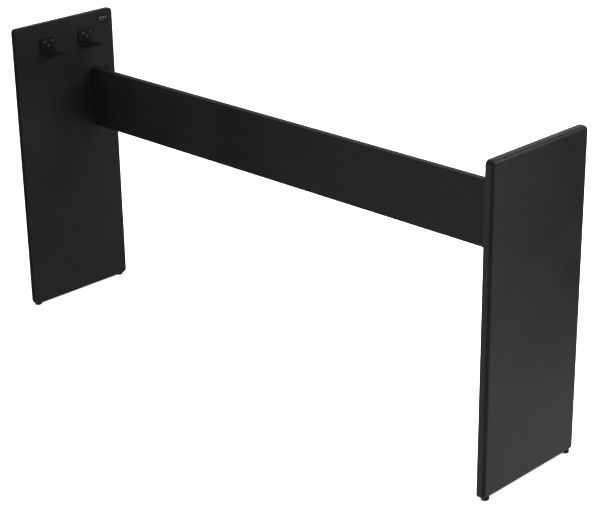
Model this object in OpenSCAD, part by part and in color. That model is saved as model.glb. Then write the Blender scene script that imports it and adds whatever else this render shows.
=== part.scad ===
// Two-panel stand for a slab digital piano: two upright side panels joined by one back board.
// The piano sits on four steel L brackets screwed to the panels' inner faces.
// Origin: on the floor, midway between the panels and midway along their depth.
// +X runs from the left panel to the right one, -Y is the pianist's side, +Z is up.

/* [Stand] */
// Clear width between the two side panels
inner_w = 1330; // [1280:5:1400]
// Thickness of a side panel
panel_t = 18; // [17:0.5:25]
// Depth of a side panel, front to rear
panel_d = 280; // [270:5:400]
// Height of a side panel
panel_h = 665; // [600:5:760]
// Radius of the routed round-over on the outer face's four edges
round_r = 8; // [3:0.5:8.5]
// Radius of a panel's four corners, seen from the side
corner_r = 9; // [9:0.5:12]
// Thickness of the black foil pressed over the outer face and edges
foil_t = 0.5; // [0.4:0.1:1]

/* [Back board] */
// Thickness of the back board
board_t = 16; // [16:0.5:20]
// Height of the back board
board_h = 138; // [130:2:180]
// Drop from the panels' top to the board's top edge
board_drop = 131; // [125:1:160]
// Setback of the board's rear face from the panels' rear edges
board_setback = 53; // [50:1:70]
// Radius on the board's four long edges
board_r = 1.5; // [1:0.1:3]

/* [Piano brackets] */
// Width of a bracket, front to rear
bracket_w = 40; // [38:1:60]
// Height of a bracket's upright plate
bracket_h = 34; // [34:1:50]
// Reach of a bracket's shelf, from the panel
bracket_reach = 40; // [36:1:60]
// Thickness of a bracket's steel
bracket_t = 3; // [2:0.5:4]
// Distance from the panel's front edge to the front brackets' centre
bracket_inset = 88; // [60:1:95]
// Distance between the front and rear brackets' centres
bracket_pitch = 110; // [90:1:120]
// Drop from the panel's top to the underside of the shelf
shelf_drop = 71; // [60:1:90]
// Diameter of the shelf hole that a piano bolt passes through
piano_hole_d = 6.5; // [5:0.5:8]
// Distance from the panel's inner face to the shelf hole
piano_hole_reach = 24; // [20:1:28]

/* [Board angles] */
// Leg of the steel angle that ties the board to a panel
angle_leg = 36; // [30:1:45]
// Height of the steel angle
angle_h = 126; // [110:2:130]
// Thickness of the angle's steel
angle_t = 2; // [1.5:0.5:3]

/* [Glides] */
// Diameter of a floor glide
glide_d = 17; // [12:0.5:17]
// Height of a floor glide
glide_h = 5; // [4:0.5:10]
// Distance from a panel's front or rear edge to a glide's centre
glide_inset = 15; // [12:1:30]

/* [Badge] */
// Length of the blank badge plate
badge_l = 28; // [20:1:40]
// Height of the blank badge plate
badge_h = 20; // [10:1:20]
// Thickness of the blank badge plate
badge_t = 0.8; // [0.5:0.1:2]
// Distance from the badge to the panel's rear edge
badge_inset = 15; // [12:1:40]
// Distance from the badge to the panel's top
badge_drop = 11; // [9:1:14]

/* [Fasteners] */
// Thread diameter of a wood screw
screw_d = 4; // [3:0.5:5]
// Head diameter of a wood screw
screw_head_d = 7.5; // [6:0.5:9]
// Length of a wood screw under its head
screw_l = 15; // [12:1:15]
// Diameter of a wooden dowel
dowel_d = 8; // [6:1:8]
// Length of a wooden dowel
dowel_l = 34; // [28:1:40]

/* [Hidden] */

$fn = 48;
LEFT = -1;
RIGHT = 1;
FRONT = -1;
REAR = 1;

// Gap between a fastener and its drilled hole, on the radius
fit_gap = 0.05;
// Overshoot that keeps a cut from ending exactly on a face
over = 1;

// Panels: z of the underside and of the top, and y of the front edge
panel_z = glide_h;
top_z = panel_z + panel_h;
front_y = -panel_d / 2;

// Back board: y of its front and rear faces, z of its lower and upper edges
board_rear_y = panel_d / 2 - board_setback;
board_front_y = board_rear_y - board_t;
board_top_z = top_z - board_drop;
board_z = board_top_z - board_h;

// Brackets: y of a bracket's centre and z of the shelf's underside
function bracket_y(end) = front_y + bracket_inset + (end == REAR ? bracket_pitch : 0);
shelf_z = top_z - shelf_drop;
bracket_corner_r = 2;

// Inner radius of a bend in the steel
bend_r = 1;

// Bracket screws: distance of the upper two from the plate's side edges and from its top edge,
// and how much lower the third one is
bracket_screw_side = 9;
bracket_screw_top = 6;
bracket_screw_step = 9.5;
// Each screw as [y from the bracket's centre, z above the shelf's underside]
bracket_screws = [[bracket_screw_side - bracket_w / 2, bracket_h - bracket_screw_top],
                  [bracket_w / 2 - bracket_screw_side, bracket_h - bracket_screw_top],
                  [0, bracket_h - bracket_screw_top - bracket_screw_step]];

// Angles: z of the lower end and of the three screw rows, and each leg's screw line
angle_row_pitch = 45;
angle_screw_edge = 14;
angle_z = board_z + (board_h - angle_h) / 2;
angle_rows = [for (i = [-1:1]) board_z + board_h / 2 + i * angle_row_pitch];
angle_screw_reach = angle_leg - angle_screw_edge;
board_screw_l = board_t - angle_t;

// Screws: height of the head and radius of its edge, length and end diameter of the point,
// and the cross recess
screw_head_t = 2.2;
screw_dome_r = 0.9;
screw_tip_l = 3;
screw_tip_d = 0.6;
recess_w = 1;
recess_l = 4;
recess_t = 1.3;

// Glides: the nail, the plastic under its head, and the rounded rim
nail_d = 2.5;
nail_head_d = 8;
nail_head_t = 1.2;
nail_l = 22;
nail_tip_l = 5;
nail_tip_d = 0.2;
nail_skin = 1.8;
glide_edge_r = 2.5;
function glide_y(end) = end * (panel_d / 2 - glide_inset);

// Dowels: how far one stands into the panel, and the z of each, midway between the screw rows
dowel_in_panel = 11;
dowel_rows = [for (i = [-1, 1]) board_z + board_h / 2 + i * angle_row_pitch / 2];
dowel_y = (board_front_y + board_rear_y) / 2;
dowel_chamfer = 1;

// Badge: its two raised bars
bar_t = 0.3;
bar_h = badge_h / 6;
bar_l = badge_l * 3 / 4;
bar_z = badge_h / 5;

black = [0.14, 0.14, 0.145];
fibre = [0.62, 0.5, 0.36];
steel_black = [0.1, 0.1, 0.1];
screw_black = [0.2, 0.2, 0.21];
steel = [0.72, 0.72, 0.74];
beech = [0.8, 0.65, 0.45];
grey_plastic = [0.2, 0.2, 0.2];

// ---- shared shapes ----

// Puts a shape made for a panel's side frame in place.
// In that frame x runs outward from the panel's inner face, and y and z are the stand's own.
module on_side(side)
    translate([side * inner_w / 2, 0, 0])
        mirror([side == LEFT ? 1 : 0, 0, 0])
            children();

// Rectangle from x = 0 to t and of length l along y, with its two corners at x = t rounded
module rounded_bar(t, l, r) {
    translate([0, -l / 2])
        square([t - r, l]);
    translate([t - r, r - l / 2])
        square([r, l - 2 * r]);
    for (s = [-1, 1])
        translate([t - r, s * (l / 2 - r)])
            circle(r);
}

// Rectangle of size w by h about the origin, with rounded corners
module rounded_rectangle(w, h, r) {
    square([w, h - 2 * r], center = true);
    square([w - 2 * r, h], center = true);
    for (x = [-1, 1])
        for (y = [-1, 1])
            translate([x * (w / 2 - r), y * (h / 2 - r)])
                circle(r);
}

// Moves a shape to each of a panel's four corners, in from both edges by r
module at_corners(r)
    for (y = [-1, 1])
        for (z = [-1, 1])
            translate([0, y * (panel_d / 2 - r), panel_z + panel_h / 2 + z * (panel_h / 2 - r)])
                children();

// A panel's body, inset on its outer face and edges: two crossing slabs with rounded outer edges,
// and a disc with the same rounded edge in each corner
module panel_blank(inset) {
    t = panel_t - inset;
    r = round_r - inset;
    disc_r = corner_r - inset;
    translate([0, 0, panel_z + corner_r])
        linear_extrude(panel_h - 2 * corner_r)
            rounded_bar(t, panel_d - 2 * inset, r);
    translate([0, panel_d / 2 - corner_r, panel_z + panel_h / 2])
        rotate([90, 0, 0])
            linear_extrude(panel_d - 2 * corner_r)
                rounded_bar(t, panel_h - 2 * inset, r);
    at_corners(corner_r)
        rotate([0, 90, 0])
            rotate_extrude() {
                square([disc_r, t - r]);
                square([disc_r - r, t]);
                intersection() {
                    translate([disc_r - r, t - r])
                        circle(r);
                    square([disc_r, t]);
                }
            }
}

// Flat sheet inside the foil's rim, from x0 and of thickness t, in the side frame
module inner_sheet(x0, t)
    translate([x0, 0, panel_z + panel_h / 2])
        rotate([90, 0, 90])
            linear_extrude(t)
                rounded_rectangle(panel_d - 2 * foil_t, panel_h - 2 * foil_t, corner_r - foil_t);

// Round hole along +X, from x0, in the side frame
module cross_hole(x0, y, z, d, l)
    translate([x0, y, z])
        rotate([0, 90, 0])
            cylinder(d = d, h = l);

// Screw, dowel and nail holes in a panel, in the side frame
module panel_holes(side) {
    screw_hole = screw_d + 2 * fit_gap;
    for (end = [FRONT, REAR])
        for (s = bracket_screws)
            cross_hole(-over, bracket_y(end) + s[0], shelf_z + s[1], screw_hole,
                       screw_l - bracket_t + fit_gap + over);
    for (z = angle_rows)
        cross_hole(-over, board_rear_y + angle_screw_reach, z, screw_hole,
                   screw_l - angle_t + fit_gap + over);
    for (z = dowel_rows)
        cross_hole(-over, dowel_y, z, dowel_d + 2 * fit_gap, dowel_in_panel + fit_gap + over);
    for (end = [FRONT, REAR])
        translate([panel_t / 2, glide_y(end), panel_z - over])
            cylinder(d = nail_d + 2 * fit_gap, h = nail_l - glide_h + nail_skin + fit_gap + over);
}

// ---- side panels ----

module panel_core(side)
    color(fibre)
        on_side(side)
            difference() {
                intersection() {
                    panel_blank(foil_t);
                    translate([foil_t, front_y, panel_z])
                        cube([panel_t, panel_d, panel_h]);
                }
                panel_holes(side);
            }

module panel_foil(side)
    color(black)
        on_side(side)
            difference() {
                panel_blank(0);
                panel_blank(foil_t);
                inner_sheet(-over, 2 * over);
                panel_holes(side);
            }

module panel_backing(side)
    color(black)
        on_side(side)
            difference() {
                inner_sheet(0, foil_t);
                panel_holes(side);
            }

// ---- back board ----

// The board's cross-section in y and z, inset on all four sides
module board_section(inset) {
    r = board_r - inset;
    y0 = board_front_y + inset;
    z0 = board_z + inset;
    w = board_t - 2 * inset;
    h = board_h - 2 * inset;
    translate([y0 + r, z0])
        square([w - 2 * r, h]);
    translate([y0, z0 + r])
        square([w, h - 2 * r]);
    for (y = [y0 + r, y0 + w - r])
        for (z = [z0 + r, z0 + h - r])
            translate([y, z])
                circle(r);
}

// The board's section swept over a length about the stand's middle
module board_blank(inset, l)
    rotate([90, 0, 90])
        linear_extrude(l, center = true)
            board_section(inset);

// Holes in the board: dowels in both ends, and the angles' screws in the rear face
module board_holes() {
    for (side = [LEFT, RIGHT])
        on_side(side) {
            for (z = dowel_rows)
                cross_hole(dowel_in_panel - dowel_l - fit_gap, dowel_y, z, dowel_d + 2 * fit_gap,
                           dowel_l);
            for (z = angle_rows)
                translate([-angle_screw_reach, board_rear_y + over, z])
                    rotate([90, 0, 0])
                        cylinder(d = screw_d + 2 * fit_gap,
                                 h = board_screw_l - angle_t + fit_gap + over);
        }
}

module back_board_core()
    color(fibre)
        difference() {
            board_blank(foil_t, inner_w);
            board_holes();
        }

module back_board_wrap()
    color(black)
        difference() {
            board_blank(0, inner_w);
            board_blank(foil_t, inner_w + 2 * over);
            board_holes();
        }

// ---- steelwork ----

// Flat plate in y and z from x = -t to 0, with its two corners at z = h rounded
module plate(w, h, t, r)
    translate([-t, 0, 0])
        rotate([0, 90, 0])
            linear_extrude(t) {
                translate([-h + r, -w / 2])
                    square([h - r, w]);
                translate([-h, -w / 2 + r])
                    square([r, w - 2 * r]);
                for (s = [-1, 1])
                    translate([-h + r, s * (w / 2 - r)])
                        circle(r);
            }

// Quarter-round bend of sheet steel of thickness t, of length l along z, with its outer side
// towards the corner at x = 0, y = 0
module bend(t, l) {
    r = t + bend_r;
    translate([-r, r, 0])
        linear_extrude(l)
            intersection() {
                difference() {
                    circle(r);
                    circle(bend_r);
                }
                translate([0, -r])
                    square(r);
            }
}

// L bracket: an upright plate on the panel, and a shelf at its lower end with one piano-bolt hole
module bracket(side, end) {
    r = bracket_t + bend_r;
    color(steel_black)
        on_side(side)
            translate([0, bracket_y(end), shelf_z])
                difference() {
                    union() {
                        translate([0, 0, r])
                            plate(bracket_w, bracket_h - r, bracket_t, bracket_corner_r);
                        translate([-r, 0, 0])
                            rotate([0, -90, 0])
                                mirror([1, 0, 0])
                                    plate(bracket_w, bracket_reach - r, bracket_t, bracket_corner_r);
                        translate([0, bracket_w / 2, 0])
                            rotate([90, 0, 0])
                                bend(bracket_t, bracket_w);
                    }
                    for (s = bracket_screws)
                        cross_hole(-bracket_t - over, s[0], s[1], screw_d + 2 * fit_gap,
                                   bracket_t + 2 * over);
                    translate([-piano_hole_reach, 0, -over])
                        cylinder(d = piano_hole_d, h = bracket_t + 2 * over);
                }
}

// Steel angle behind the board: one leg on the panel, the other on the board's rear face
module board_angle(side) {
    r = angle_t + bend_r;
    color(steel_black)
        on_side(side)
            translate([0, board_rear_y, angle_z])
                difference() {
                    union() {
                        translate([-angle_t, r, 0])
                            cube([angle_t, angle_leg - r, angle_h]);
                        translate([-angle_leg, 0, 0])
                            cube([angle_leg - r, angle_t, angle_h]);
                        bend(angle_t, angle_h);
                    }
                    for (z = angle_rows) {
                        cross_hole(-angle_t - over, angle_screw_reach, z - angle_z,
                                   screw_d + 2 * fit_gap, angle_t + 2 * over);
                        translate([-angle_screw_reach, angle_t + over, z - angle_z])
                            rotate([90, 0, 0])
                                cylinder(d = screw_d + 2 * fit_gap, h = angle_t + 2 * over);
                    }
                }
}

// ---- fasteners ----

// Pan-head wood screw: the seat of its head is at z = 0, its shank runs to z = l
module wood_screw(l) {
    head_r = screw_head_d / 2;
    difference() {
        rotate_extrude() {
            translate([0, -screw_head_t])
                square([head_r - screw_dome_r, screw_head_t]);
            translate([0, screw_dome_r - screw_head_t])
                square([head_r, screw_head_t - screw_dome_r]);
            translate([head_r - screw_dome_r, screw_dome_r - screw_head_t])
                circle(screw_dome_r);
            polygon([[0, 0], [screw_d / 2, 0], [screw_d / 2, l - screw_tip_l],
                     [screw_tip_d / 2, l], [0, l]]);
        }
        for (a = [0, 90])
            rotate([0, 0, a])
                translate([-recess_l / 2, -recess_w / 2, -screw_head_t - over])
                    cube([recess_l, recess_w, recess_t + over]);
    }
}

module bracket_screw_set(side, end)
    color(screw_black)
        on_side(side)
            for (s = bracket_screws)
                translate([-bracket_t, bracket_y(end) + s[0], shelf_z + s[1]])
                    rotate([0, 90, 0])
                        wood_screw(screw_l);

module angle_panel_screws(side)
    color(screw_black)
        on_side(side)
            for (z = angle_rows)
                translate([-angle_t, board_rear_y + angle_screw_reach, z])
                    rotate([0, 90, 0])
                        wood_screw(screw_l);

module angle_board_screws(side)
    color(screw_black)
        on_side(side)
            for (z = angle_rows)
                translate([-angle_screw_reach, board_rear_y + angle_t, z])
                    rotate([90, 0, 0])
                        wood_screw(board_screw_l);

module dowels(side)
    color(beech)
        on_side(side)
            for (z = dowel_rows)
                translate([dowel_in_panel, dowel_y, z])
                    rotate([0, -90, 0])
                        rotate_extrude()
                            polygon([[0, 0], [dowel_d / 2 - dowel_chamfer, 0],
                                     [dowel_d / 2, dowel_chamfer],
                                     [dowel_d / 2, dowel_l - dowel_chamfer],
                                     [dowel_d / 2 - dowel_chamfer, dowel_l], [0, dowel_l]]);

// ---- floor glides ----

// Moulded glide with a rounded rim, moulded round the head of its own nail
module glide(side, end)
    color(grey_plastic)
        on_side(side)
            translate([panel_t / 2, glide_y(end), 0])
                difference() {
                    rotate_extrude() {
                        square([glide_d / 2 - glide_edge_r, glide_h]);
                        translate([0, glide_edge_r])
                            square([glide_d / 2, glide_h - glide_edge_r]);
                        translate([glide_d / 2 - glide_edge_r, glide_edge_r])
                            circle(glide_edge_r);
                    }
                    translate([0, 0, nail_skin])
                        cylinder(d = nail_head_d, h = nail_head_t);
                    translate([0, 0, nail_skin])
                        cylinder(d = nail_d, h = glide_h);
                }

module glide_nails(side)
    color(steel)
        on_side(side)
            for (end = [FRONT, REAR])
                translate([panel_t / 2, glide_y(end), nail_skin]) {
                    cylinder(d = nail_head_d, h = nail_head_t);
                    translate([0, 0, nail_head_t])
                        cylinder(d = nail_d, h = nail_l - nail_tip_l - nail_head_t);
                    translate([0, 0, nail_l - nail_tip_l])
                        cylinder(d1 = nail_d, d2 = nail_tip_d, h = nail_tip_l);
                }

// ---- badge ----

// Blank plate glued to the left panel's inner face, with two plain raised bars
module badge_plate()
    color(grey_plastic)
        on_side(LEFT)
            translate([-badge_t, panel_d / 2 - badge_inset - badge_l / 2,
                       top_z - badge_drop - badge_h / 2]) {
                translate([0, -badge_l / 2, -badge_h / 2])
                    cube([badge_t, badge_l, badge_h]);
                for (z = [-bar_z, bar_z])
                    translate([-bar_t, -bar_l / 2, z - bar_h / 2])
                        cube([bar_t, bar_l, bar_h]);
            }

panel_core(LEFT);  // left_panel_core
panel_foil(LEFT);  // left_panel_foil
panel_backing(LEFT);  // left_panel_backing
panel_core(RIGHT);  // right_panel_core
panel_foil(RIGHT);  // right_panel_foil
panel_backing(RIGHT);  // right_panel_backing
back_board_core();
back_board_wrap();
bracket(LEFT, FRONT);  // left_front_bracket
bracket(LEFT, REAR);  // left_rear_bracket
bracket(RIGHT, FRONT);  // right_front_bracket
bracket(RIGHT, REAR);  // right_rear_bracket
bracket_screw_set(LEFT, FRONT);  // left_front_bracket_screws
bracket_screw_set(LEFT, REAR);  // left_rear_bracket_screws
bracket_screw_set(RIGHT, FRONT);  // right_front_bracket_screws
bracket_screw_set(RIGHT, REAR);  // right_rear_bracket_screws
board_angle(LEFT);  // left_board_angle
board_angle(RIGHT);  // right_board_angle
angle_panel_screws(LEFT);  // left_angle_panel_screws
angle_board_screws(LEFT);  // left_angle_board_screws
angle_panel_screws(RIGHT);  // right_angle_panel_screws
angle_board_screws(RIGHT);  // right_angle_board_screws
dowels(LEFT);  // left_dowels
dowels(RIGHT);  // right_dowels
glide(LEFT, FRONT);  // left_front_glide
glide(LEFT, REAR);  // left_rear_glide
glide(RIGHT, FRONT);  // right_front_glide
glide(RIGHT, REAR);  // right_rear_glide
glide_nails(LEFT);  // left_glide_nails
glide_nails(RIGHT);  // right_glide_nails
badge_plate();
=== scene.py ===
import math

import bmesh
import bpy
from mathutils import Matrix, Vector


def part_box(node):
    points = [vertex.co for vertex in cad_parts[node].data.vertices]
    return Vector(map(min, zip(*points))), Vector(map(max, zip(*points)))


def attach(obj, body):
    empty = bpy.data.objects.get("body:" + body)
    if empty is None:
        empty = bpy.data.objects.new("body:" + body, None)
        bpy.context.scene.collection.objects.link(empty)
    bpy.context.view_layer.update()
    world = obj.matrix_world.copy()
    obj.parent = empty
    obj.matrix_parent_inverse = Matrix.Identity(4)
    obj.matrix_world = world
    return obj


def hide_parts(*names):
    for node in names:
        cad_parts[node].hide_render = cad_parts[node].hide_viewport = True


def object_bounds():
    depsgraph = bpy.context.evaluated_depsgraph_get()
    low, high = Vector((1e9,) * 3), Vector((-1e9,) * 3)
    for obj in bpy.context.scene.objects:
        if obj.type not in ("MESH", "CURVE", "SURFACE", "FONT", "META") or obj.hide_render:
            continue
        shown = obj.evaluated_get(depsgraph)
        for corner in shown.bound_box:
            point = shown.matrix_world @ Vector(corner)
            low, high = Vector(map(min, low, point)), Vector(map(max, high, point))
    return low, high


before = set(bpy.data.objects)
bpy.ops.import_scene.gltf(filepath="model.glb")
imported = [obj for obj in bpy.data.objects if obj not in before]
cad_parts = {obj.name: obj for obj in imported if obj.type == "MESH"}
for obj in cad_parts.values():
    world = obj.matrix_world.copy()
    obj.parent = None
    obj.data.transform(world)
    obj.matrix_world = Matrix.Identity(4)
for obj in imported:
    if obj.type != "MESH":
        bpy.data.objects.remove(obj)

CAD_LOW, CAD_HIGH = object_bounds()

# Everything is in metres, in the CAD frame: +X towards the right panel, -Y towards the pianist.
MM = 0.001
CENTRE = (CAD_LOW + CAD_HIGH) / 2
BODY = "root"
SIDES = ("left", "right")
ENDS = ("front", "rear")


# ---------------------------------------------------------------- shader building

NOISE_WIDE = (0.3, 0.7)         # most of a noise's values lie between these
NOISE_MIDDLE = (0.35, 0.65)     # a narrower part of them, for more contrast


class Graph:
    """Short ways to add nodes to a shader tree."""

    def __init__(self, tree, place):
        self.tree = tree
        self.place = tree.nodes.new("ShaderNodeTexCoord").outputs[place]

    def link(self, source, target):
        self.tree.links.new(source, target)

    def spread(self, source, low, high, to_low=0.0, to_high=1.0):
        """Maps low..high onto to_low..to_high with soft ends."""
        node = self.tree.nodes.new("ShaderNodeMapRange")
        node.interpolation_type = "SMOOTHSTEP"
        ends = {"From Min": low, "From Max": high, "To Min": to_low, "To Max": to_high}
        for socket, value in ends.items():
            node.inputs[socket].default_value = value
        self.link(source, node.inputs["Value"])
        return node.outputs["Result"]

    def combine(self, operation, first, second):
        """Math node on two sockets, or on a socket and a number."""
        node = self.tree.nodes.new("ShaderNodeMath")
        node.operation = operation
        self.link(first, node.inputs[0])
        if isinstance(second, float):
            node.inputs[1].default_value = second
        else:
            self.link(second, node.inputs[1])
        return node.outputs[0]

    def mix(self, factor, first, second):
        """Colour that runs from first to second with the factor; each is a colour or a socket."""
        node = self.tree.nodes.new("ShaderNodeMix")
        node.data_type = "RGBA"
        for socket, value in ((node.inputs[6], first), (node.inputs[7], second)):
            if isinstance(value, tuple):
                socket.default_value = (*value, 1.0)
            else:
                self.link(value, socket)
        self.link(factor, node.inputs[0])
        return node.outputs[2]


class Surface(Graph):
    """A Principled material whose textures are laid out in the object's own metres."""

    def __init__(self, name, colour, roughness, **sockets):
        self.material = bpy.data.materials.new(name)
        self.material.use_nodes = True
        super().__init__(self.material.node_tree, "Object")
        self.shader = self.tree.nodes["Principled BSDF"]
        self.shader.inputs["Base Color"].default_value = (*colour, 1.0)
        self.shader.inputs["Roughness"].default_value = roughness
        for socket, value in sockets.items():
            self.shader.inputs[socket.replace("_", " ")].default_value = value
        self.normal = None

    def scaled(self, per_metre):
        """Object coordinates in repeats; per_metre is one number, or one for each axis."""
        node = self.tree.nodes.new("ShaderNodeMapping")
        node.inputs["Scale"].default_value = per_metre if isinstance(per_metre, tuple) else (per_metre,) * 3
        self.link(self.place, node.inputs["Vector"])
        return node.outputs["Vector"]

    def noise(self, per_metre, detail, roughness=0.5, distortion=0.0):
        node = self.tree.nodes.new("ShaderNodeTexNoise")
        node.inputs["Scale"].default_value = 1.0
        node.inputs["Detail"].default_value = detail
        node.inputs["Roughness"].default_value = roughness
        node.inputs["Distortion"].default_value = distortion
        self.link(self.scaled(per_metre), node.inputs["Vector"])
        return node.outputs["Fac"]

    def cells(self, per_metre):
        """One random grey for each cell of a Voronoi pattern."""
        node = self.tree.nodes.new("ShaderNodeTexVoronoi")
        node.inputs["Scale"].default_value = 1.0
        self.link(self.scaled(per_metre), node.inputs["Vector"])
        grey = self.tree.nodes.new("ShaderNodeRGBToBW")
        self.link(node.outputs["Color"], grey.inputs["Color"])
        return grey.outputs["Val"]

    def tint(self, factor, dark, light):
        """Base colour that runs from dark to light with the factor."""
        self.link(self.mix(factor, dark, light), self.shader.inputs["Base Color"])

    def gloss(self, factor, low, high):
        """Roughness that runs from low to high with the factor."""
        self.link(self.spread(factor, *NOISE_WIDE, low, high), self.shader.inputs["Roughness"])

    def relief(self, height, depth, strength):
        """Adds a bump of the given depth in metres on top of any earlier one."""
        node = self.tree.nodes.new("ShaderNodeBump")
        node.inputs["Strength"].default_value = strength
        node.inputs["Distance"].default_value = depth
        self.link(height, node.inputs["Height"])
        if self.normal is not None:
            self.link(self.normal, node.inputs["Normal"])
        self.normal = node.outputs["Normal"]
        self.link(self.normal, self.shader.inputs["Normal"])


def shade(colour, factor):
    """The same colour, darker or lighter."""
    return tuple(min(1.0, channel * factor) for channel in colour)


# ---------------------------------------------------------------- materials

GRAIN_ACROSS = 900                # repeats per metre of the foil's grain, across it and along it
GRAIN_ALONG = 22
TURNING_MARKS = (5200, 900, 5200)  # repeats per metre of the fine marks on screws and nails


def black_foil(name, axis, colour, roughness, specular):
    """Satin black foil: a fine pebble, a faint grain along one axis and uneven gloss."""
    surface = Surface(name, colour, roughness, Specular_IOR_Level=specular)
    grain_scale = tuple(GRAIN_ALONG if each == axis else GRAIN_ACROSS for each in "XYZ")
    patches = surface.noise(per_metre=9, detail=2)
    grain = surface.noise(grain_scale, detail=4, roughness=0.6)
    pebble = surface.noise(per_metre=2600, detail=1)
    blend = surface.combine("ADD", surface.combine("MULTIPLY", patches, 0.6),
                            surface.combine("MULTIPLY", grain, 0.4))
    surface.tint(surface.spread(blend, *NOISE_MIDDLE), shade(colour, 0.8), shade(colour, 1.25))
    surface.gloss(blend, roughness - 0.05, roughness + 0.05)
    surface.relief(grain, depth=0.04 * MM, strength=0.6)
    surface.relief(pebble, depth=0.06 * MM, strength=0.8)
    return surface.material


def melamine(dark, light):
    """Inner facing of the side panels: flatter and drier than the foil, with a coarser pebble."""
    surface = Surface("black_melamine", dark, 0.55, Specular_IOR_Level=0.12)
    patches = surface.noise(per_metre=7, detail=3)
    pebble = surface.noise(per_metre=1500, detail=2)
    surface.tint(surface.spread(patches, *NOISE_MIDDLE), dark, light)
    surface.gloss(patches, 0.5, 0.6)
    surface.relief(pebble, depth=0.08 * MM, strength=0.7)
    return surface.material


def fibreboard():
    """Raw fibreboard of the cores: pale and dark flecks under a dusty grain."""
    surface = Surface("raw_fibreboard", (0.36, 0.25, 0.15), 0.85)
    chips = surface.cells(per_metre=(1100, 1100, 600))
    dust = surface.noise(per_metre=1900, detail=4)
    mixed = surface.combine("MULTIPLY", surface.spread(chips, 0.0, 1.0, 0.5, 1.0), dust)
    surface.tint(surface.spread(mixed, 0.05, 0.45), (0.26, 0.17, 0.1), (0.46, 0.34, 0.21))
    surface.relief(mixed, depth=0.3 * MM, strength=0.6)
    return surface.material


def powder_coat():
    """Black powder coat on steel: an even orange peel with a few deeper pits."""
    surface = Surface("black_powder_coat", (0.003, 0.003, 0.003), 0.5, Specular_IOR_Level=0.1)
    peel = surface.noise(per_metre=1400, detail=2)
    pits = surface.noise(per_metre=3800, detail=0)
    wear = surface.noise(per_metre=60, detail=4)
    surface.tint(surface.spread(wear, 0.4, 0.7), (0.0024, 0.0024, 0.0024), (0.0045, 0.0045, 0.0046))
    surface.gloss(wear, 0.42, 0.56)
    surface.relief(peel, depth=0.06 * MM, strength=0.7)
    surface.relief(pits, depth=0.02 * MM, strength=0.5)
    return surface.material


def black_finished_steel():
    """Blackened screws: a thin satin oxide, rubbed a little brighter in patches."""
    surface = Surface("screw_black", (0.01, 0.01, 0.0103), 0.25, Specular_IOR_Level=0.5)
    rubbed = surface.noise(per_metre=700, detail=3)
    marks = surface.noise(TURNING_MARKS, detail=2)
    surface.tint(surface.spread(rubbed, 0.45, 0.75), (0.005, 0.005, 0.0052), (0.02, 0.0198, 0.0195))
    surface.gloss(rubbed, 0.18, 0.3)
    surface.relief(marks, depth=0.008 * MM, strength=0.5)
    return surface.material


def bright_wire(colour):
    """Bright steel with fine drawing marks and clouded patches."""
    surface = Surface("nail_wire", colour, 0.3, Metallic=1.0)
    clouds = surface.noise(per_metre=500, detail=3)
    marks = surface.noise(TURNING_MARKS, detail=2)
    surface.tint(surface.spread(clouds, *NOISE_MIDDLE), shade(colour, 0.78), shade(colour, 1.12))
    surface.gloss(clouds, 0.22, 0.38)
    surface.relief(marks, depth=0.008 * MM, strength=0.5)
    return surface.material


def beech():
    """Raw beech with its grain and short flecks along X."""
    surface = Surface("raw_beech", (0.6, 0.42, 0.24), 0.7)
    grain = surface.noise(per_metre=(90, 2600, 2600), detail=4, distortion=0.4)
    flecks = surface.noise(per_metre=(400, 5200, 5200), detail=1)
    mixed = surface.combine("MULTIPLY", grain, surface.spread(flecks, *NOISE_WIDE, 0.8, 1.0))
    surface.tint(surface.spread(mixed, 0.3, 0.6), (0.46, 0.29, 0.15), (0.68, 0.5, 0.3))
    surface.relief(mixed, depth=0.05 * MM, strength=0.5)
    return surface.material


def moulded_plastic(name, colour, roughness, specular):
    """Moulded plastic with faint flow marks and a spark-eroded texture."""
    surface = Surface(name, colour, roughness, Specular_IOR_Level=specular)
    flow = surface.noise(per_metre=(120, 120, 300), detail=3)
    spark = surface.noise(per_metre=4200, detail=1)
    surface.tint(surface.spread(flow, *NOISE_MIDDLE), shade(colour, 0.85), shade(colour, 1.2))
    surface.gloss(flow, roughness - 0.06, roughness + 0.08)
    surface.relief(spark, depth=0.02 * MM, strength=0.6)
    return surface.material


PANEL_FOIL = black_foil("panel_foil", "Z", (0.0064, 0.0064, 0.0069), roughness=0.4, specular=0.26)
BOARD_FOIL = black_foil("board_foil", "X", (0.0043, 0.0043, 0.0045), roughness=0.54, specular=0.32)
MELAMINE = melamine((0.0042, 0.0042, 0.0043), (0.0058, 0.0057, 0.0058))
FIBREBOARD = fibreboard()
POWDER_COAT = powder_coat()
SCREW_BLACK = black_finished_steel()
NAIL_STEEL = bright_wire((0.56, 0.55, 0.53))
BEECH = beech()
GLIDE_PLASTIC = moulded_plastic("glide_plastic", (0.006, 0.006, 0.006), roughness=0.45, specular=0.3)
BADGE_BLACK = moulded_plastic("badge_black", (0.0028, 0.0028, 0.0028), roughness=0.5, specular=0.1)
BADGE_GREY = moulded_plastic("badge_grey", (0.05, 0.05, 0.052), roughness=0.5, specular=0.2)
CARD_BLACK = Surface("card_black", (0.01, 0.01, 0.01), 1.0, Specular_IOR_Level=0).material


# ---------------------------------------------------------------- mesh helpers

SHARP_ANGLE = math.radians(32)  # edges sharper than this stay sharp in smooth shading
FINE_EDGE = 0.12 * MM           # broken edge of a turned or moulded part
ROUND_STEPS = 10                # segments in a quarter of a round-over


def ring(half_a, half_b, radius, steps=8):
    """Points of a rounded rectangle about the origin, counter-clockwise."""
    points = []
    for quarter, (side_a, side_b) in enumerate(((1, 1), (-1, 1), (-1, -1), (1, -1))):
        for step in range(steps + 1):
            angle = math.radians(90 * (quarter + step / steps))
            points.append((side_a * (half_a - radius) + radius * math.cos(angle),
                           side_b * (half_b - radius) + radius * math.sin(angle)))
    return points


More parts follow.
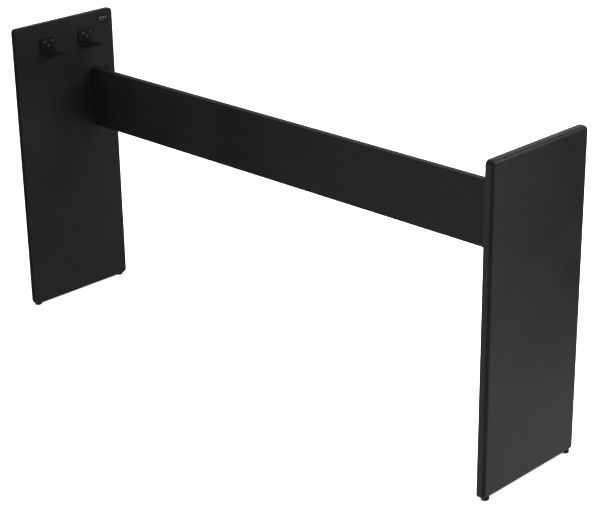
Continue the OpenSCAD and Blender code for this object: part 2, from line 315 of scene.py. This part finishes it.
def circle(radii, height):
    """Ring of points about +Z, with one point for each radius."""
    points = []
    for step, radius in enumerate(radii):
        angle = 2 * math.pi * step / len(radii)
        points.append(Vector((radius * math.cos(angle), radius * math.sin(angle), height)))
    return points


def spun(profile, steps):
    """Circles for a profile of (radius, height) points."""
    return [circle([radius] * steps, height) for radius, height in profile]


def arc(centre_a, centre_b, radius, start, end, steps):
    """Points along an arc, angles in degrees."""
    angles = [math.radians(start + (end - start) * step / steps) for step in range(steps + 1)]
    return [(centre_a + radius * math.cos(angle), centre_b + radius * math.sin(angle)) for angle in angles]


def bridge(bm, loops, closed=False):
    """Joins loops of equal length into a skin, closed on itself or capped at both ends."""
    rows = [[bm.verts.new(point) for point in loop] for loop in loops]
    after = rows[1:] + rows[:1] if closed else rows[1:]
    for near, far in zip(rows, after):
        for i in range(len(near)):
            j = (i + 1) % len(near)
            bm.faces.new((near[i], near[j], far[j], far[i]))
    if not closed:
        bm.faces.new(list(reversed(rows[0])))
        bm.faces.new(rows[-1])


def make_object(name, bm):
    mesh = bpy.data.meshes.new(name)
    bm.to_mesh(mesh)
    bm.free()
    item = bpy.data.objects.new(name, mesh)
    bpy.context.scene.collection.objects.link(item)
    return item


def make_piece(name, bm, slot, materials, *nodes):
    """Turns a bmesh into a smooth-shaded piece that stands for CAD nodes."""
    bmesh.ops.recalc_face_normals(bm, faces=bm.faces)
    piece = make_object(name, bm)
    piece.data.shade_smooth()
    piece.data.set_sharp_from_angle(angle=SHARP_ANGLE)
    even = piece.modifiers.new("even_normals", "WEIGHTED_NORMAL")
    even.keep_sharp = True
    even.weight = 100
    for material in materials:
        piece.data.materials.append(material)
    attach(piece, BODY)
    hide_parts(*nodes)


# ---------------------------------------------------------------- panels and board

PANEL_ROUND = 8.0 * MM       # round-over of a panel's outer edges
PANEL_CORNER = 9.0 * MM      # corner of a panel seen from the side
FOIL = 0.5 * MM              # thickness of the foil and of the board's wrap
FOIL_EDGE = 0.15 * MM        # the foil's own cut edge, slightly broken
BOARD_ROUND = 1.5 * MM       # the board's four long edges


def panel_foil(side):
    """The foil as a closed skin: outer face, round-over, edges, cut rim and the glued inner side."""
    node = f"{side}_panel_foil"
    low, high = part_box(node)
    middle = (low + high) / 2
    size = high - low
    outward = 1 if side == "right" else -1
    inner_x = low.x if side == "right" else high.x

    def loop(depth, inset):
        points = ring(size.y / 2 - inset, size.z / 2 - inset, PANEL_CORNER - inset)
        return [Vector((inner_x + outward * depth, middle.y + y, middle.z + z)) for y, z in points]

    # The skin's section, as depths from the panel's inner plane and insets from its outline
    centre = size.x - PANEL_ROUND
    outer = [(centre + out, PANEL_ROUND - across)
             for across, out in arc(0, 0, PANEL_ROUND, 90, 0, ROUND_STEPS)]
    inner = [(centre + out, PANEL_ROUND - across)
             for across, out in arc(0, 0, PANEL_ROUND - FOIL, 0, 90, ROUND_STEPS)]
    rim = [(FOIL_EDGE, 0), (0, FOIL_EDGE), (0, FOIL)]
    bm = bmesh.new()
    bridge(bm, [loop(depth, inset) for depth, inset in outer + rim + inner])
    make_piece(f"{side}_foil", bm, "black_foil", [PANEL_FOIL], node)


def board_wrap():
    """The foil round the board, as a thin tube that is open at both ends."""
    node = "back_board_wrap"
    low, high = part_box(node)
    middle = (low + high) / 2
    size = high - low

    def loop(x, inset):
        points = ring(size.y / 2 - inset, size.z / 2 - inset, BOARD_ROUND - inset, steps=6)
        return [Vector((x, middle.y + y, middle.z + z)) for y, z in points]

    bm = bmesh.new()
    bridge(bm, [loop(low.x, 0), loop(high.x, 0), loop(high.x, FOIL), loop(low.x, FOIL)], closed=True)
    make_piece("board_wrap", bm, "board_foil", [BOARD_FOIL], node)


for each_side in SIDES:
    panel_foil(each_side)
board_wrap()


# ---------------------------------------------------------------- screws

HEAD_R = 3.75 * MM            # a screw's head: radius, height, rounded rim and crown
HEAD_H = 2.2 * MM
HEAD_RIM = 1.1 * MM
HEAD_CROWN = 0.25 * MM
CROWN_SHARES = (0.02, 0.25, 0.5, 0.75, 0.9)  # where the crown's circles lie, out of its radius
RIM_STEPS = 8
SHANK_CORE_R = 1.35 * MM      # its shank: root and crest of the thread, pitch, ridge, plain part and point
SHANK_CREST_R = 2.0 * MM
SHANK_PITCH = 1.8 * MM
SHANK_RIDGE = 0.5             # share of the pitch that the thread's ridge takes
SHANK_PLAIN = 1.5 * MM
SHANK_POINT = 3.0 * MM
POINT_BLUNT = 0.08            # the point's end, as a share of the shank's radius
RECESS_DEPTH = 1.5 * MM       # its cross recess: depth, and half the length and width of the cutter's arms
RECESS_TOP = (2.35 * MM, 0.62 * MM)
RECESS_FLOOR = (1.0 * MM, 0.34 * MM)
SCREW_STEPS = 32
LEVELS_PER_PITCH = 8
FIRST_TURN = math.radians(20)  # how far each screw of a group is driven round
NEXT_TURN = math.radians(67)
JOIN_GAP = 0.01 * MM          # vertices of one CAD solid that lie closer than this are one


def shank_radius(depth, length, turn):
    """Radius of the threaded shank at a depth under the head and a turn from 0 to 1."""
    taper = min(1.0, max(POINT_BLUNT, (length - depth) / SHANK_POINT))
    ramp = min(1.0, max(0.0, (depth - SHANK_PLAIN) / SHANK_PITCH))
    phase = (depth / SHANK_PITCH - turn) % 1.0
    crest = max(0.0, 1.0 - 2 * abs(phase - 0.5) / SHANK_RIDGE)
    return (SHANK_CORE_R + (SHANK_CREST_R - SHANK_CORE_R) * crest * ramp) * taper


def screw_body(length):
    """Pan head and threaded shank about +Z: the head's seat is at z = 0 and the point at z = length."""
    flat_r = HEAD_R - HEAD_RIM
    crown = [(flat_r * share, -HEAD_H - HEAD_CROWN * (1 - share ** 2)) for share in CROWN_SHARES]
    rim = arc(flat_r, HEAD_RIM - HEAD_H, HEAD_RIM, -90, 0, RIM_STEPS)
    under = [(HEAD_R, -FINE_EDGE), (HEAD_R - FINE_EDGE, 0)]
    loops = spun(crown + rim + under, SCREW_STEPS)
    turns = [step / SCREW_STEPS for step in range(SCREW_STEPS)]
    levels = int(length / SHANK_PITCH * LEVELS_PER_PITCH)
    for level in range(levels + 1):
        depth = length * level / levels
        loops.append(circle([shank_radius(depth, length, turn) for turn in turns], depth))
    bm = bmesh.new()
    bridge(bm, loops)
    bmesh.ops.recalc_face_normals(bm, faces=bm.faces)
    return bm


def cross_cutter():
    """Tapered cross that is cut into a screw's head. It reaches as far above the rim as into the head."""
    bm = bmesh.new()
    for turn in (Matrix(), Matrix.Rotation(math.radians(90), 4, "Z")):
        loops = []
        for rise, (reach, half) in ((-RECESS_DEPTH, RECESS_TOP), (RECESS_DEPTH, RECESS_FLOOR)):
            corners = ((-reach, -half), (reach, -half), (reach, half), (-reach, half))
            loops.append([turn @ Vector((x, y, rise - HEAD_H)) for x, y in corners])
        bridge(bm, loops)
    bmesh.ops.recalc_face_normals(bm, faces=bm.faces)
    return bm


def screw_mesh(length):
    """One finished screw, with its cross recess cut."""
    body = make_object("screw_body", screw_body(length))
    cutter = make_object("screw_cutter", cross_cutter())
    cut = body.modifiers.new("recess", "BOOLEAN")
    cut.operation = "DIFFERENCE"
    cut.solver = "EXACT"
    cut.use_self = True
    cut.object = cutter
    evaluated = body.evaluated_get(bpy.context.evaluated_depsgraph_get())
    mesh = bpy.data.meshes.new_from_object(evaluated)
    for item in (body, cutter):
        bpy.data.objects.remove(item)
    return mesh


def islands(node):
    """Lowest and highest corners of each separate solid in a CAD node."""
    bm = bmesh.new()
    bm.from_mesh(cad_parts[node].data)
    bmesh.ops.remove_doubles(bm, verts=bm.verts, dist=JOIN_GAP)
    unseen = set(bm.verts)
    boxes = []
    while unseen:
        front = [unseen.pop()]
        points = [front[0].co.copy()]
        while front:
            for edge in front.pop().link_edges:
                for vert in edge.verts:
                    if vert in unseen:
                        unseen.remove(vert)
                        front.append(vert)
                        points.append(vert.co.copy())
        boxes.append(tuple(Vector(limit(point[axis] for point in points) for axis in range(3))
                           for limit in (min, max)))
    bm.free()
    return sorted(boxes, key=lambda box: tuple(box[0]))


def screw_length(node, axis):
    """Length under the head of the screws in a CAD node, which all lie along one axis."""
    low, high = islands(node)[0]
    return high[axis] - low[axis] - HEAD_H


def fasten(name, screw, node, direction):
    """Puts a finished screw in place of each one in a CAD node; their points look along direction."""
    axis = max(range(3), key=lambda i: abs(direction[i]))
    aim = direction.to_track_quat("Z", "Y").to_matrix().to_4x4()
    bm = bmesh.new()
    for number, (low, high) in enumerate(islands(node)):
        seat = (low + high) / 2
        seat[axis] = low[axis] + HEAD_H if direction[axis] > 0 else high[axis] - HEAD_H
        spin = Matrix.Rotation(FIRST_TURN + NEXT_TURN * number, 4, "Z")
        one = screw.copy()
        one.transform(Matrix.Translation(seat) @ aim @ spin)
        bm.from_mesh(one)
        bpy.data.meshes.remove(one)
    make_piece(name, bm, "screw_steel", [SCREW_BLACK], node)


LONG_SCREW = screw_mesh(screw_length("left_angle_panel_screws", 0))
SHORT_SCREW = screw_mesh(screw_length("left_angle_board_screws", 1))
INTO_BOARD = Vector((0, -1, 0))
INTO_PANEL = {"left": Vector((-1, 0, 0)), "right": Vector((1, 0, 0))}

for each_side in SIDES:
    into = INTO_PANEL[each_side]
    for each_end in ENDS:
        corner = f"{each_side}_{each_end}"
        fasten(f"{corner}_plate_screws", LONG_SCREW, f"{corner}_bracket_screws", into)
    fasten(f"{each_side}_angle_side_screws", LONG_SCREW, f"{each_side}_angle_panel_screws", into)
    fasten(f"{each_side}_angle_back_screws", SHORT_SCREW, f"{each_side}_angle_board_screws", INTO_BOARD)


# ---------------------------------------------------------------- glides

FOOT_ROUND = 2.2 * MM         # a glide's rounded foot, its waist, and the collar under the panel
WAIST_DEPTH = 0.7 * MM
WAIST_HEIGHT = 0.5 * MM
COLLAR = 0.9 * MM
COLLAR_INSET = 0.25 * MM
DIMPLE = 0.12 * MM            # hollow in the middle of its underside
DIMPLE_SECTION = ((0.1, 1.0), (0.45, 0.5), (0.6, 0.0))  # as shares of the glide's radius and of DIMPLE
GLIDE_STEPS = 64


def floor_glide(side, end):
    """Nail-on glide: a domed foot, a waist and a thin collar under the panel."""
    node = f"{side}_{end}_glide"
    low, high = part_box(node)
    middle = (low + high) / 2
    radius = (high.x - low.x) / 2
    waist_r = radius - WAIST_DEPTH
    collar_r = radius - COLLAR_INSET
    collar_z = high.z - low.z - COLLAR
    hollow = [(radius * share, DIMPLE * rise) for share, rise in DIMPLE_SECTION]
    foot = arc(radius - FOOT_ROUND, FOOT_ROUND, FOOT_ROUND, -90, 0, ROUND_STEPS)
    waist = [(radius - FINE_EDGE, collar_z - 2 * WAIST_HEIGHT),
             (waist_r, collar_z - WAIST_HEIGHT), (waist_r, collar_z)]
    collar = [(collar_r, collar_z + FINE_EDGE), (collar_r, collar_z + COLLAR - FINE_EDGE),
              (collar_r - FINE_EDGE, collar_z + COLLAR)]
    place = Vector((middle.x, middle.y, low.z))
    loops = spun(hollow + foot + waist + collar, GLIDE_STEPS)
    bm = bmesh.new()
    bridge(bm, [[point + place for point in loop] for loop in loops])
    make_piece(f"{side}_{end}_foot", bm, "glide_plastic", [GLIDE_PLASTIC], node)


for each_side in SIDES:
    for each_end in ENDS:
        floor_glide(each_side, each_end)


# ---------------------------------------------------------------- badge

BADGE_PLATE_T = 0.8 * MM      # its plate, the plate's corners, and how deep the bars are let in
BADGE_CORNER = 1.5 * MM
BAR_CORNER = 0.4 * MM
BAR_SINK = 0.1 * MM
BAR_START = -0.78             # where both rows of bars start, and the gap, as shares of the half length
BAR_GAP = 0.1
UPPER_BARS = (0.26, 0.26, 0.16)  # half lengths of each row's bars, as shares of the half length
LOWER_BARS = (0.72,)
ROW_Z = 0.3                   # a row's distance from the middle, as a share of the half height
UPPER_HALF_Z = 0.16           # half heights of the bars, as shares of the half height
LOWER_HALF_Z = 0.06


def raised_pad(bm, base_x, rise, centre, half_y, half_z, corner, material):
    """Low pad with rounded corners and a broken edge, which faces +X."""
    first = len(bm.faces)
    edge = min(FINE_EDGE, rise / 2)
    loops = []
    for height, inset in ((0, 0), (rise - edge, 0), (rise, edge)):
        points = ring(half_y - inset, half_z - inset, corner - inset, steps=5)
        loops.append([Vector((base_x + height, centre.y + y, centre.z + z)) for y, z in points])
    bridge(bm, loops)
    bm.faces.ensure_lookup_table()
    for face in bm.faces[first:]:
        face.material_index = material


def badge():
    """Blank label: a black plate with three short plain bars over a long thin one."""
    low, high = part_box("badge_plate")
    middle = (low + high) / 2
    half = (high - low) / 2
    bars_x = low.x + BADGE_PLATE_T - BAR_SINK
    bm = bmesh.new()
    raised_pad(bm, low.x, BADGE_PLATE_T, middle, half.y, half.z, BADGE_CORNER, 0)
    for z, half_z, bars in ((ROW_Z, UPPER_HALF_Z, UPPER_BARS), (-ROW_Z, LOWER_HALF_Z, LOWER_BARS)):
        y = BAR_START
        for half_y in bars:
            spot = middle + Vector((0, (y + half_y) * half.y, z * half.z))
            raised_pad(bm, bars_x, high.x - bars_x, spot, half_y * half.y, half_z * half.z, BAR_CORNER, 1)
            y += 2 * half_y + BAR_GAP
    make_piece("badge_label", bm, "badge_plastic", [BADGE_BLACK, BADGE_GREY], "badge_plate")


badge()


# ---------------------------------------------------------------- CAD nodes that stay

WELD_GAP = 0.002 * MM            # vertices closer than this are welded
FLAT_ANGLE = math.radians(0.5)   # faces flatter than this are one face
BREAK_ANGLE = math.radians(40)   # edges sharper than this are broken
ANGLE_EDGE = 0.3 * MM            # width of the broken edges
BRACKET_EDGE = 0.4 * MM


def dress(node, material):
    """Gives a CAD node its material."""
    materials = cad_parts[node].data.materials
    materials.clear()
    materials.append(material)


def break_edges(node, width):
    """Welds a CAD node's mesh and breaks its sharp edges, as a deburred or coated part has."""
    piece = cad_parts[node]
    weld = piece.modifiers.new("weld", "WELD")
    weld.merge_threshold = WELD_GAP
    flat = piece.modifiers.new("flatten", "DECIMATE")
    flat.decimate_type = "DISSOLVE"
    flat.angle_limit = FLAT_ANGLE
    edges = piece.modifiers.new("broken_edges", "BEVEL")
    edges.width = width
    edges.segments = 2
    edges.limit_method = "ANGLE"
    edges.angle_limit = BREAK_ANGLE
    edges.harden_normals = True


for each_side in SIDES:
    dress(f"{each_side}_panel_core", FIBREBOARD)
    dress(f"{each_side}_panel_backing", MELAMINE)
    dress(f"{each_side}_dowels", BEECH)
    dress(f"{each_side}_glide_nails", NAIL_STEEL)
    dress(f"{each_side}_board_angle", POWDER_COAT)
    break_edges(f"{each_side}_board_angle", ANGLE_EDGE)
    for each_end in ENDS:
        dress(f"{each_side}_{each_end}_bracket", POWDER_COAT)
        break_edges(f"{each_side}_{each_end}_bracket", BRACKET_EDGE)
dress("back_board_core", FIBREBOARD)


# ---------------------------------------------------------------- floor, light and camera

FLOOR_SIZE = 40                 # the paper floor, and the light it gives by itself
FLOOR_GLOW = 0.75

BACKDROP = (1.0, 1.0, 1.0)      # what the camera sees round the floor

# Colours of the surroundings as light, by direction. Z is the sine of the height above the horizon.
HORIZON = (1.0, 1.0, 1.0)
OVERHEAD = (0.36, 0.368, 0.385)
LOWER_PALE = (0.98, 0.95, 0.92)
LOWER_DEEP = (0.8, 0.77, 0.74)
LOWER_DARK = (0.01, 0.01, 0.01)
OVERHEAD_Z = (0.03, 0.2)        # from the horizon's colour to the overhead one
BELOW_Z = (0.0, -0.15)          # from above the horizon to below it
DEEP_Z = (-0.3, -0.6)           # from the pale lower colour to the duller one
DARK_AZIMUTH = 45               # middle of the dark part below the horizon
DARK_COSINE = (0.5, 0.88)       # cosines of the angles from it where the dark begins and where it is full

CAMERA_AZIMUTH = 44.6           # where the camera stands, seen from its aim, in degrees
CAMERA_ELEVATION = 22.3
CAMERA_ROLL = math.radians(-0.9)
CAMERA_DISTANCE = 3.624
CAMERA_AIM = CENTRE + Vector((0.059, 0.017, -0.071))
CAMERA_LENS = 103.8             # in millimetres, as the sensor's width is
CAMERA_SENSOR = 36.0
CAMERA_REACH = 100


def towards(azimuth, elevation):
    """Unit vector in degrees: azimuth 0 is the -Y side and 90 the +X side."""
    a, e = math.radians(azimuth), math.radians(elevation)
    return Vector((math.sin(a) * math.cos(e), -math.cos(a) * math.cos(e), math.sin(e)))


def studio_floor():
    """Pale paper floor. Reflections look through it, at the surroundings below the horizon."""
    bpy.ops.mesh.primitive_plane_add(size=FLOOR_SIZE, location=(CENTRE.x, CENTRE.y, 0))
    floor = bpy.context.object
    floor.name = "studio_floor"
    floor.visible_glossy = False
    surface = Surface("studio_paper", (0.9, 0.9, 0.9), 0.95, Specular_IOR_Level=0.05)
    tone = surface.noise(per_metre=0.8, detail=2)
    surface.tint(tone, (0.89, 0.89, 0.89), (0.91, 0.91, 0.91))
    surface.shader.inputs["Emission Color"].default_value = (1, 1, 1, 1)
    surface.shader.inputs["Emission Strength"].default_value = FLOOR_GLOW
    floor.data.materials.append(surface.material)


def surroundings():
    """White backdrop to look at. As light, it has the colours named above."""
    world = bpy.data.worlds.new("studio")
    world.use_nodes = True
    bpy.context.scene.world = world
    bpy.context.scene.view_settings.view_transform = "Standard"
    graph = Graph(world.node_tree, "Generated")
    parts = graph.tree.nodes.new("ShaderNodeSeparateXYZ")
    graph.link(graph.place, parts.inputs[0])
    height = parts.outputs["Z"]
    facing = graph.tree.nodes.new("ShaderNodeVectorMath")
    facing.operation = "DOT_PRODUCT"
    graph.link(graph.place, facing.inputs[0])
    facing.inputs[1].default_value = towards(DARK_AZIMUTH, 0)
    dark = graph.spread(facing.outputs["Value"], *DARK_COSINE)
    pale = graph.mix(graph.spread(height, *DEEP_Z), LOWER_PALE, LOWER_DEEP)
    lower = graph.mix(dark, pale, LOWER_DARK)
    upper = graph.mix(graph.spread(height, *OVERHEAD_Z), HORIZON, OVERHEAD)
    light = graph.mix(graph.spread(height, *BELOW_Z), upper, lower)
    looked_at = graph.tree.nodes.new("ShaderNodeLightPath").outputs["Is Camera Ray"]
    backdrop = graph.mix(looked_at, light, BACKDROP)
    graph.link(backdrop, graph.tree.nodes["Background"].inputs["Color"])


def softbox(name, azimuth, elevation, distance, size, power, mirrored=True):
    """Area light aimed at the object's middle; when not mirrored, it gives no highlight."""
    lamp = bpy.data.lights.new(name, "AREA")
    lamp.shape = "RECTANGLE"
    lamp.size, lamp.size_y = size
    lamp.energy = power
    light = bpy.data.objects.new(name, lamp)
    bpy.context.scene.collection.objects.link(light)
    back = towards(azimuth, elevation)
    light.location = CENTRE + back * distance
    light.rotation_mode = "QUATERNION"
    light.rotation_quaternion = back.to_track_quat("Z", "Y")
    light.visible_camera = False
    light.visible_glossy = mirrored


def black_card(name, x, y_range, z_range):
    """Upright black card at one x. It is seen only in reflections, as a flag beside a real set is."""
    (front, rear), (low, high) = y_range, z_range
    corners = ((x, front, low), (x, rear, low), (x, rear, high), (x, front, high))
    bm = bmesh.new()
    bm.faces.new([bm.verts.new(corner) for corner in corners])
    card = make_object(name, bm)
    card.visible_camera = False
    card.visible_diffuse = False
    card.visible_shadow = False
    card.data.materials.append(CARD_BLACK)


def camera():
    """The photograph's viewpoint: right of the stand and above it, looking down at its middle."""
    data = bpy.data.cameras.new("camera")
    data.sensor_width = CAMERA_SENSOR
    data.lens = CAMERA_LENS
    data.clip_end = CAMERA_REACH
    eye = bpy.data.objects.new("camera", data)
    bpy.context.scene.collection.objects.link(eye)
    back = towards(CAMERA_AZIMUTH, CAMERA_ELEVATION)
    eye.location = CAMERA_AIM + back * CAMERA_DISTANCE
    eye.rotation_mode = "QUATERNION"
    eye.rotation_quaternion = ((-back).to_track_quat("-Z", "Y")
                               @ Matrix.Rotation(CAMERA_ROLL, 4, "Z").to_quaternion())
    bpy.context.scene.camera = eye


studio_floor()
surroundings()
softbox("overhead", azimuth=200, elevation=74, distance=5.5, size=(4.5, 4.5), power=400, mirrored=False)
softbox("rear", azimuth=205, elevation=24, distance=2.2, size=(1.2, 0.7), power=1.2)
softbox("right", azimuth=118, elevation=34, distance=2.6, size=(1.0, 1.0), power=22)
softbox("inner", azimuth=166, elevation=46, distance=1.35, size=(0.9, 0.9), power=26, mirrored=False)
black_card("front_left_card", x=CAD_LOW.x - 0.45, y_range=(-1.3, 0.1), z_range=(-1.2, 0.9))
black_card("rear_right_card", x=CAD_HIGH.x + 0.42, y_range=(0.46, 1.4), z_range=(-0.1, 1.0))
camera()
